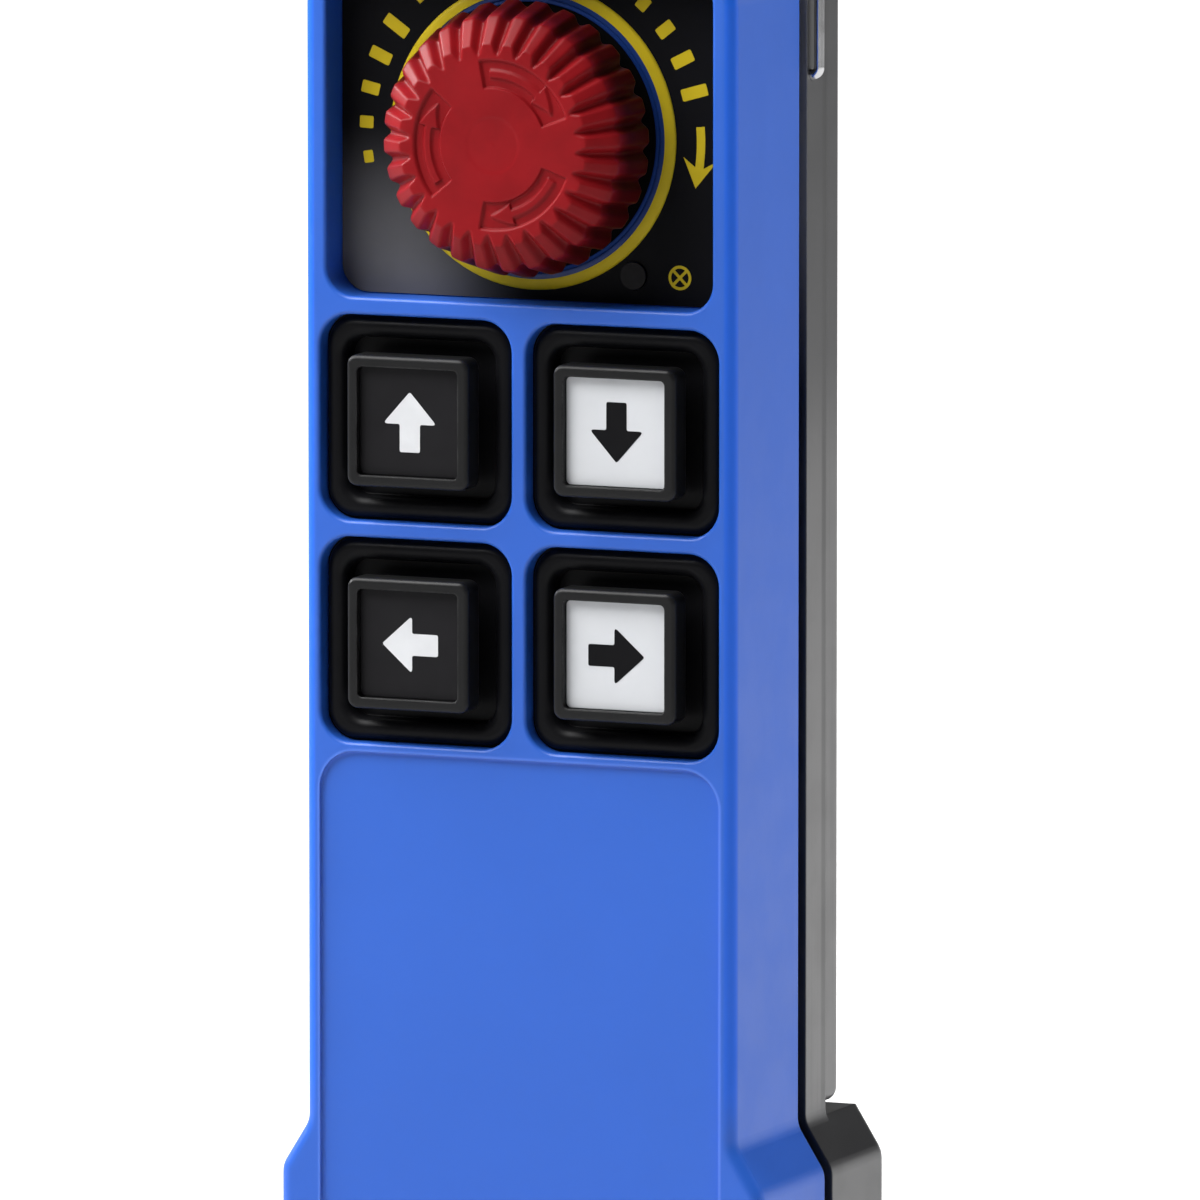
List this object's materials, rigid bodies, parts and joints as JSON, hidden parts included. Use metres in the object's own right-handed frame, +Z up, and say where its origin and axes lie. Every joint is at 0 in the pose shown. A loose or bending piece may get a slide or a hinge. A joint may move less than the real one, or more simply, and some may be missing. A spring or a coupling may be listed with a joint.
{
  "type": "crane radio remote control",
  "caption": "Handheld radio remote for a crane: red turn-to-release stop button in a pocket, square push keys in rubber boots, wire strap bail and a flared battery foot.",
  "frame": {"origin": "on the flat base of the foot, under the front casing, on the upright plane of symmetry", "axes": "+Z up along the remote, front with the keys towards -Y, +X to the right seen from the front"},
  "size_m": [0.081, 0.062, 0.2358],
  "materials": {
    "blue_shell": "moulded plastic, fine satin grain",
    "grey_shell": "moulded plastic, satin",
    "black_rubber": "moulded rubber",
    "boot_rubber": "glossy silicone rubber",
    "key_black": "moulded plastic, semi-gloss",
    "tile_black": "printed tile, semi-gloss",
    "tile_white": "printed tile, semi-gloss",
    "stop_red": "moulded plastic, satin",
    "legend_black": "printed film, satin",
    "lens_dark": "clear dark plastic",
    "lamp_clear": "clear epoxy",
    "black_plastic": "moulded plastic",
    "steel": "zinc plated",
    "bail_steel": "bright stainless wire",
    "spring_steel": "nickel plated",
    "tin_can": "tinned shield can",
    "board_green": "solder mask",
    "cell_wrap": "plain printed sleeve"
  },
  "bodies": {
    "casing": {"front_casing": "blue_shell", "rear_casing": "grey_shell", "casing_gasket": "black_rubber", "casing_screws": "steel", "stop_legend_plate": "legend_black", "indicator_lens": "lens_dark", "indicator_lamp": "lamp_clear", "stop_collar": "black_plastic", "stop_seal": "black_rubber", "stop_nut": "black_plastic", "stop_contact_block": "black_plastic", "main_board": "board_green", "board_screws": "steel", "radio_module": "tin_can", "antenna": "black_rubber", "battery_tray": "black_plastic", "contact_strip_left": "spring_steel", "contact_strip_right": "spring_steel", "door_hinge_pin": "steel", "key_boot_upper_left": "boot_rubber", "key_switch_upper_left": "black_plastic", "key_boot_upper_right": "boot_rubber", "key_switch_upper_right": "black_plastic", "key_boot_lower_left": "boot_rubber", "key_switch_lower_left": "black_plastic", "key_boot_lower_right": "boot_rubber", "key_switch_lower_right": "black_plastic", "battery_cell_1": "cell_wrap", "battery_cell_2": "cell_wrap", "battery_cell_3": "cell_wrap", "battery_cell_4": "cell_wrap"},
    "key_upper_left": {"key_cap_upper_left": "key_black", "key_tile_upper_left": "tile_black", "key_plunger_upper_left": "black_plastic"},
    "key_upper_right": {"key_cap_upper_right": "key_black", "key_tile_upper_right": "tile_white", "key_plunger_upper_right": "black_plastic"},
    "key_lower_left": {"key_cap_lower_left": "key_black", "key_tile_lower_left": "tile_black", "key_plunger_lower_left": "black_plastic"},
    "key_lower_right": {"key_cap_lower_right": "key_black", "key_tile_lower_right": "tile_white", "key_plunger_lower_right": "black_plastic"},
    "stop_plunger": {"stop_stem": "black_plastic"},
    "stop_knob": {"stop_head": "stop_red"},
    "bail": {"strap_bail": "bail_steel"},
    "door": {"battery_door": "grey_shell", "door_seal": "black_rubber"}
  },
  "joints": [
    {"name": "press_upper_left", "type": "slide", "parent": "casing", "child": "key_upper_left", "axis": [0, 1, 0], "range_m": [0, 0.0026], "stiffness_N_per_m": 900, "springref_m": -0.0012},
    {"name": "press_upper_right", "type": "slide", "parent": "casing", "child": "key_upper_right", "axis": [0, 1, 0], "range_m": [0, 0.0026], "stiffness_N_per_m": 900, "springref_m": -0.0012},
    {"name": "press_lower_left", "type": "slide", "parent": "casing", "child": "key_lower_left", "axis": [0, 1, 0], "range_m": [0, 0.0026], "stiffness_N_per_m": 900, "springref_m": -0.0012},
    {"name": "press_lower_right", "type": "slide", "parent": "casing", "child": "key_lower_right", "axis": [0, 1, 0], "range_m": [0, 0.0026], "stiffness_N_per_m": 900, "springref_m": -0.0012},
    {"name": "stop_push", "type": "slide", "parent": "casing", "child": "stop_plunger", "axis": [0, 1, 0], "range_m": [0, 0.004]},
    {"name": "stop_twist", "type": "hinge", "parent": "stop_plunger", "child": "stop_knob", "pos_m": [0, -0.028, 0.1914], "axis": [0, 1, 0], "range_deg": [0, 45], "stiffness_Nm_per_rad": 0.1, "springref_deg": -11.46},
    {"name": "bail_swing", "type": "hinge", "parent": "casing", "child": "bail", "pos_m": [0, 0.009, 0.1999], "axis": [-1, 0, 0], "range_deg": [-20, 150]},
    {"name": "door_open", "type": "hinge", "parent": "casing", "child": "door", "pos_m": [0, 0.0283, 0.007], "axis": [-1, 0, 0], "range_deg": [0, 90]}
  ]
}
